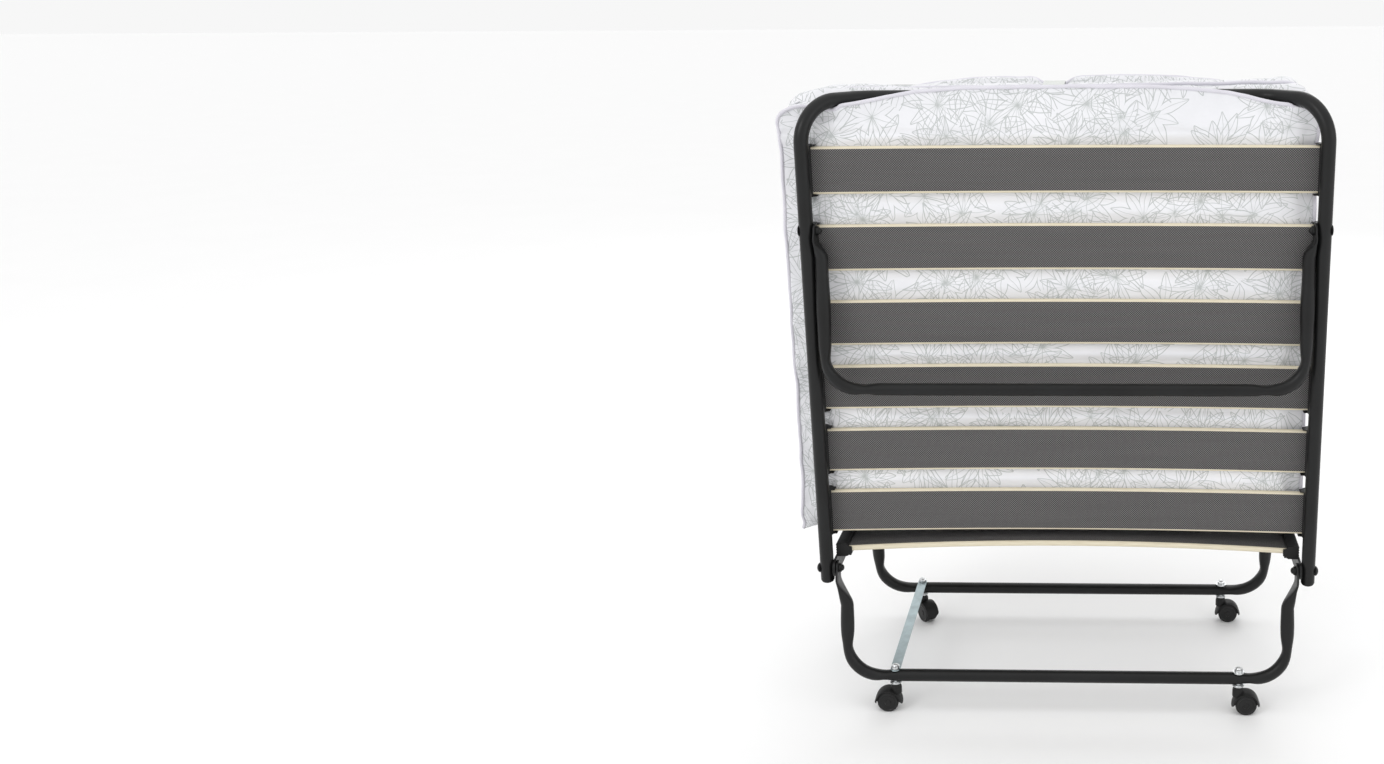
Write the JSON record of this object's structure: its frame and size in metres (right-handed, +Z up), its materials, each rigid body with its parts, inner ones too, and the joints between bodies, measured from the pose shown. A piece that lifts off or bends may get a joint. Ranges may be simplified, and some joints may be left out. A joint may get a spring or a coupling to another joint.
{
  "type": "folding guest bed",
  "caption": "Folding guest bed on casters, folded upright round its mattress: black tube frame, sprung slats, fold-down end legs, zinc tie strut.",
  "frame": {"origin": "on the floor under the middle of the folded bed's bounding box", "axes": "+X to the right along the bed's width, +Y from the front half towards the rear half, +Z up"},
  "size_m": [0.8414, 0.3508, 1.0026],
  "materials": {
    "black_steel": "satin black powder coat",
    "black_plastic": "matte moulded plastic",
    "slat_laminate": "dark grey woven-look laminate over pale plywood",
    "zinc": "bright zinc plate",
    "mattress_cloth": "quilted white cloth with a fine grey-green line print",
    "strap_webbing": "pale woven webbing"
  },
  "bodies": {
    "centre_section": {"caster_stem_front_left": "zinc", "caster_stem_front_right": "zinc", "caster_stem_rear_left": "zinc", "caster_stem_rear_right": "zinc", "centre_mattress": "mattress_cloth", "centre_slat_caps_left": "black_plastic", "centre_slat_caps_right": "black_plastic", "centre_slat_front": "slat_laminate", "centre_slat_middle": "slat_laminate", "centre_slat_rear": "slat_laminate", "front_centre_leg": "black_steel", "front_fold_bolt_left": "black_steel", "front_fold_bolt_right": "black_steel", "rear_centre_leg": "black_steel", "rear_fold_bolt_left": "black_steel", "rear_fold_bolt_right": "black_steel", "side_rail_left": "black_steel", "side_rail_right": "black_steel", "tie_strut": "zinc"},
    "front_half": {"front_frame": "black_steel", "front_leg_bolt_left": "black_steel", "front_leg_bolt_right": "black_steel", "front_mattress": "mattress_cloth", "front_slat_1": "slat_laminate", "front_slat_2": "slat_laminate", "front_slat_3": "slat_laminate", "front_slat_4": "slat_laminate", "front_slat_5": "slat_laminate", "front_slat_6": "slat_laminate", "front_slat_caps_left": "black_plastic", "front_slat_caps_right": "black_plastic"},
    "rear_half": {"rear_frame": "black_steel", "rear_leg_bolt_left": "black_steel", "rear_leg_bolt_right": "black_steel", "rear_mattress": "mattress_cloth", "rear_slat_1": "slat_laminate", "rear_slat_2": "slat_laminate", "rear_slat_3": "slat_laminate", "rear_slat_4": "slat_laminate", "rear_slat_5": "slat_laminate", "rear_slat_6": "slat_laminate", "rear_slat_caps_left": "black_plastic", "rear_slat_caps_right": "black_plastic"},
    "front_end_leg": {"front_end_leg": "black_steel"},
    "rear_end_leg": {"rear_end_leg": "black_steel"},
    "closing_strap": {"closing_strap": "strap_webbing"},
    "caster_swivel_front_left": {"caster_housing_front_left": "black_plastic"},
    "caster_wheels_front_left": {"caster_wheels_front_left": "black_plastic"},
    "caster_swivel_front_right": {"caster_housing_front_right": "black_plastic"},
    "caster_wheels_front_right": {"caster_wheels_front_right": "black_plastic"},
    "caster_swivel_rear_left": {"caster_housing_rear_left": "black_plastic"},
    "caster_wheels_rear_left": {"caster_wheels_rear_left": "black_plastic"},
    "caster_swivel_rear_right": {"caster_housing_rear_right": "black_plastic"},
    "caster_wheels_rear_right": {"caster_wheels_rear_right": "black_plastic"}
  },
  "joints": [
    {"name": "front_half_fold", "type": "hinge", "parent": "centre_section", "child": "front_half", "pos_m": [0.01535, -0.13195, 0.23685], "axis": [1, 0, 0], "range_deg": [0, 88.8]},
    {"name": "front_leg_fold", "type": "hinge", "parent": "front_half", "child": "front_end_leg", "pos_m": [0.01535, -0.14359, 0.79273], "axis": [-1, 0, 0], "range_deg": [0, 107]},
    {"name": "rear_half_fold", "type": "hinge", "parent": "centre_section", "child": "rear_half", "pos_m": [0.01535, 0.13005, 0.23685], "axis": [-1, 0, 0], "range_deg": [0, 88.8]},
    {"name": "rear_leg_fold", "type": "hinge", "parent": "rear_half", "child": "rear_end_leg", "pos_m": [0.01535, 0.14169, 0.79273], "axis": [1, 0, 0], "range_deg": [0, 107]},
    {"name": "strap_lift", "type": "hinge", "parent": "front_half", "child": "closing_strap", "pos_m": [0.01535, -0.06761, 0.98536], "axis": [1, 0, 0], "range_deg": [0, 96]},
    {"name": "caster_swivel_front_left", "type": "hinge", "parent": "centre_section", "child": "caster_swivel_front_left", "pos_m": [-0.26365, -0.16286, 0.045], "axis": [0, 0, 1], "continuous": true},
    {"name": "caster_roll_front_left", "type": "hinge", "parent": "caster_swivel_front_left", "child": "caster_wheels_front_left", "pos_m": [-0.27665, -0.16286, 0.01735], "axis": [0, -1, 0], "continuous": true},
    {"name": "caster_swivel_front_right", "type": "hinge", "parent": "centre_section", "child": "caster_swivel_front_right", "pos_m": [0.29435, -0.16286, 0.045], "axis": [0, 0, 1], "continuous": true},
    {"name": "caster_roll_front_right", "type": "hinge", "parent": "caster_swivel_front_right", "child": "caster_wheels_front_right", "pos_m": [0.30735, -0.16286, 0.01735], "axis": [0, 1, 0], "continuous": true},
    {"name": "caster_swivel_rear_left", "type": "hinge", "parent": "centre_section", "child": "caster_swivel_rear_left", "pos_m": [-0.26365, 0.16096, 0.045], "axis": [0, 0, 1], "continuous": true},
    {"name": "caster_roll_rear_left", "type": "hinge", "parent": "caster_swivel_rear_left", "child": "caster_wheels_rear_left", "pos_m": [-0.25529, 0.151, 0.01735], "axis": [0.766, 0.6428, 0], "continuous": true},
    {"name": "caster_swivel_rear_right", "type": "hinge", "parent": "centre_section", "child": "caster_swivel_rear_right", "pos_m": [0.29435, 0.16096, 0.045], "axis": [0, 0, 1], "continuous": true},
    {"name": "caster_roll_rear_right", "type": "hinge", "parent": "caster_swivel_rear_right", "child": "caster_wheels_rear_right", "pos_m": [0.30735, 0.16096, 0.01735], "axis": [0, 1, 0], "continuous": true}
  ]
}
